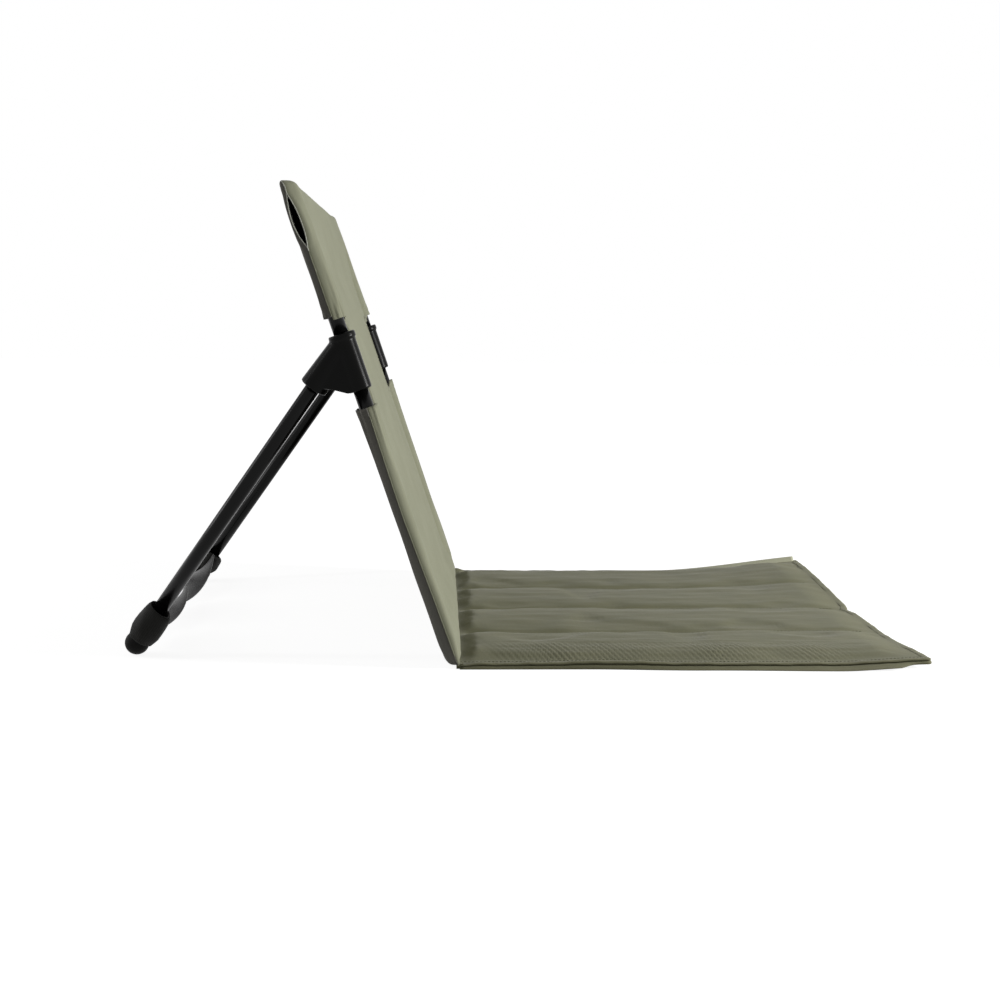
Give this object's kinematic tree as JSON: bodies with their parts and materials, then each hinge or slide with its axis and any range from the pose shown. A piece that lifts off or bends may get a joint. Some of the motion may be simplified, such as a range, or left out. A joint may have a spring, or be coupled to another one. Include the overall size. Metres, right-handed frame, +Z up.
{
  "type": "padded folding chair",
  "caption": "Legless padded folding chair: floor seat pad hinged to a leaning tube-framed cloth back, propped by swing-in rear legs joined by a twisted strap.",
  "frame": {"origin": "on the floor, under the middle of the bottom bar of the back frame", "axes": "+X forwards along the seat, +Y to the sitter's left, +Z up"},
  "size_m": [0.6638, 0.4, 0.3803],
  "materials": {
    "front_cloth": "woven polyester, olive grey",
    "side_cloth": "woven polyester, olive grey, darker side",
    "foam": "closed-cell foam sheet, inside the cover",
    "coated_tube": "gloss black powder coat",
    "moulded_nylon": "moulded black nylon, satin",
    "foot_rubber": "moulded black rubber",
    "webbing": "black flat woven webbing"
  },
  "bodies": {
    "back_frame": {"lower_back_tube": "coated_tube", "upper_back_tube": "coated_tube", "base_sleeve": "side_cloth", "top_sleeve": "front_cloth", "left_lower_sleeve": "side_cloth", "left_upper_sleeve": "side_cloth", "right_lower_sleeve": "side_cloth", "right_upper_sleeve": "side_cloth", "crease_strip": "side_cloth", "back_front_panel": "front_cloth", "back_rear_panel": "side_cloth", "back_foam": "foam", "left_notch_binding": "side_cloth", "right_notch_binding": "side_cloth"},
    "seat": {"seat_top_fabric": "front_cloth", "seat_bottom_fabric": "side_cloth", "seat_edge_binding": "side_cloth", "seat_foam_1": "foam", "seat_foam_2": "foam", "seat_foam_3": "foam", "seat_foam_4": "foam"},
    "left_leg": {"left_connector": "moulded_nylon", "left_leg_tube": "coated_tube", "left_foot": "foot_rubber", "left_foot_loop": "webbing"},
    "right_leg": {"right_connector": "moulded_nylon", "right_leg_tube": "coated_tube", "right_foot": "foot_rubber", "right_foot_loop": "webbing", "foot_strap": "webbing"}
  },
  "joints": [
    {"name": "seat_fold", "type": "hinge", "parent": "back_frame", "child": "seat", "pos_m": [0.01, 0, 0.003], "axis": [0, -1, 0], "range_deg": [0, 100]},
    {"name": "left_leg_swing", "type": "hinge", "parent": "back_frame", "child": "left_leg", "pos_m": [-0.08568, 0.1834, 0.25804], "axis": [-0.3239, 0, 0.9461], "range_deg": [0, 68], "deforming": ["foot_strap"]},
    {"name": "right_leg_swing", "type": "hinge", "parent": "back_frame", "child": "right_leg", "pos_m": [-0.08568, -0.1834, 0.25804], "axis": [0.3239, 0, -0.9461], "range_deg": [0, 60]}
  ]
}
